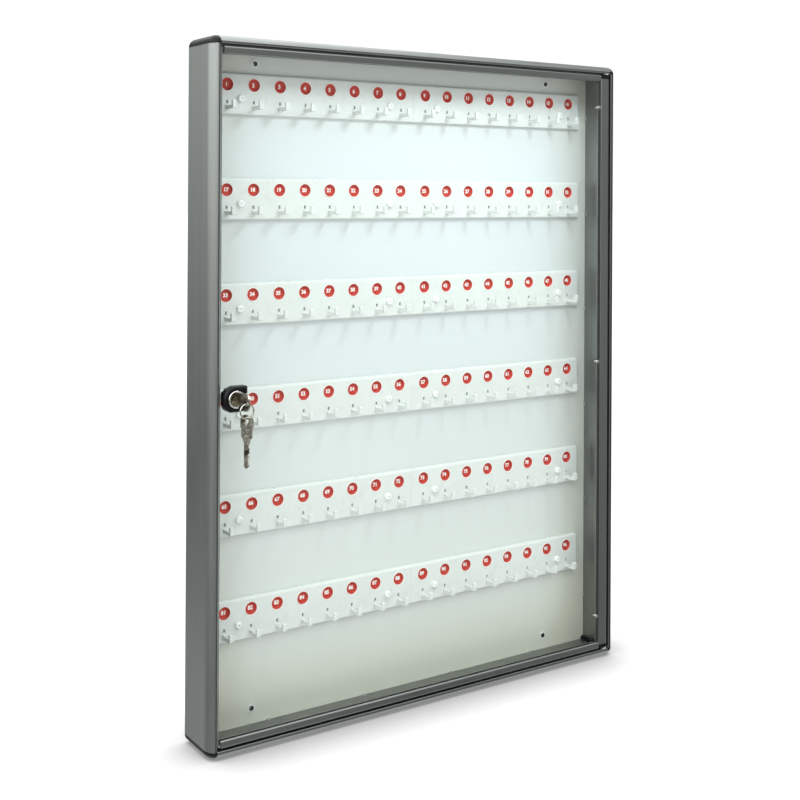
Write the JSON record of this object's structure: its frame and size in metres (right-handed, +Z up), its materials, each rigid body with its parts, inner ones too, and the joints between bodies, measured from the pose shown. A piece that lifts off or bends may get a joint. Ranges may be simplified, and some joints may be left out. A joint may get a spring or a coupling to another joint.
{
  "type": "key cabinet",
  "caption": "Shallow wall-hung aluminium key cabinet with an inset clear door hinged on the right, numbered peg strips inside, and a cam lock with its keys.",
  "frame": {"origin": "centre of the four wall-screw holes, on the wall plane behind the case", "axes": "+X to the right as seen from the front, +Y into the wall, +Z up; the door faces -Y"},
  "size_m": [0.526, 0.0941, 0.7],
  "materials": {
    "anodised_frame": "satin anodised",
    "anodised_door": "satin anodised",
    "corner_plastic": "moulded black",
    "panel_enamel": "white enamel",
    "strip_plastic": "milky white, semi gloss",
    "white_nylon": "natural nylon",
    "red_plastic": "gloss red",
    "zinc_steel": "zinc plated",
    "bright_steel": "plated",
    "clear_acrylic": "clear polished acrylic",
    "gasket_rubber": "matte",
    "black_plastic": "semi gloss",
    "lock_chrome": "bright chrome",
    "key_nickel": "nickel plated brass, worn"
  },
  "bodies": {
    "case": {"stile_left": "anodised_frame", "stile_right": "anodised_frame", "rail_top": "anodised_frame", "rail_bottom": "anodised_frame", "corner_top_left": "corner_plastic", "corner_top_right": "corner_plastic", "corner_bottom_left": "corner_plastic", "corner_bottom_right": "corner_plastic", "back_panel": "panel_enamel", "panel_clips": "zinc_steel", "wall_sleeves": "zinc_steel", "hook_strip_1_left": "strip_plastic", "hook_strip_1_right": "strip_plastic", "number_buttons_1": "red_plastic", "hook_strip_2_left": "strip_plastic", "hook_strip_2_right": "strip_plastic", "number_buttons_2": "red_plastic", "hook_strip_3_left": "strip_plastic", "hook_strip_3_right": "strip_plastic", "number_buttons_3": "red_plastic", "hook_strip_4_left": "strip_plastic", "hook_strip_4_right": "strip_plastic", "number_buttons_4": "red_plastic", "hook_strip_5_left": "strip_plastic", "hook_strip_5_right": "strip_plastic", "number_buttons_5": "red_plastic", "hook_strip_6_left": "strip_plastic", "hook_strip_6_right": "strip_plastic", "number_buttons_6": "red_plastic", "strip_knobs": "white_nylon", "hinge_bush_top": "white_nylon", "hinge_bush_bottom": "white_nylon", "lock_keeper": "black_plastic", "keeper_screws": "bright_steel"},
    "door": {"door_panel": "clear_acrylic", "door_bar_top": "anodised_door", "door_bar_bottom": "anodised_door", "hinge_profile": "anodised_door", "hinge_plug_top": "black_plastic", "hinge_plug_bottom": "black_plastic", "hinge_pin_top": "bright_steel", "hinge_pin_bottom": "bright_steel", "hinge_gasket": "gasket_rubber", "clamp_screws": "bright_steel", "lock_housing": "black_plastic", "lock_body": "lock_chrome", "lock_nut": "bright_steel"},
    "lock_core": {"lock_plug": "lock_chrome", "lock_cam": "bright_steel", "cam_screw": "bright_steel"},
    "key": {"lock_key": "key_nickel"},
    "ring": {"key_ring": "key_nickel"},
    "hanging_key": {"spare_key": "key_nickel"}
  },
  "joints": [
    {"name": "door_hinge", "type": "hinge", "parent": "case", "child": "door", "pos_m": [0.24955, -0.0528, 0], "axis": [0, 0, 1], "range_deg": [0, 95]},
    {"name": "lock_turn", "type": "hinge", "parent": "door", "child": "lock_core", "pos_m": [-0.239, -0.058, -0.0025], "axis": [0, 1, 0], "range_deg": [0, 90]},
    {"name": "key_slide", "type": "slide", "parent": "lock_core", "child": "key", "axis": [0, -1, 0], "range_m": [0, 0.03]},
    {"name": "ring_swing", "type": "hinge", "parent": "key", "child": "ring", "pos_m": [-0.239, -0.0856, -0.0037], "axis": [0, 1, 0], "range_deg": [-30, 30]},
    {"name": "spare_key_swing", "type": "hinge", "parent": "ring", "child": "hanging_key", "pos_m": [-0.239, -0.0856, -0.0177], "axis": [1, 0, 0], "range_deg": [-60, 25]}
  ]
}
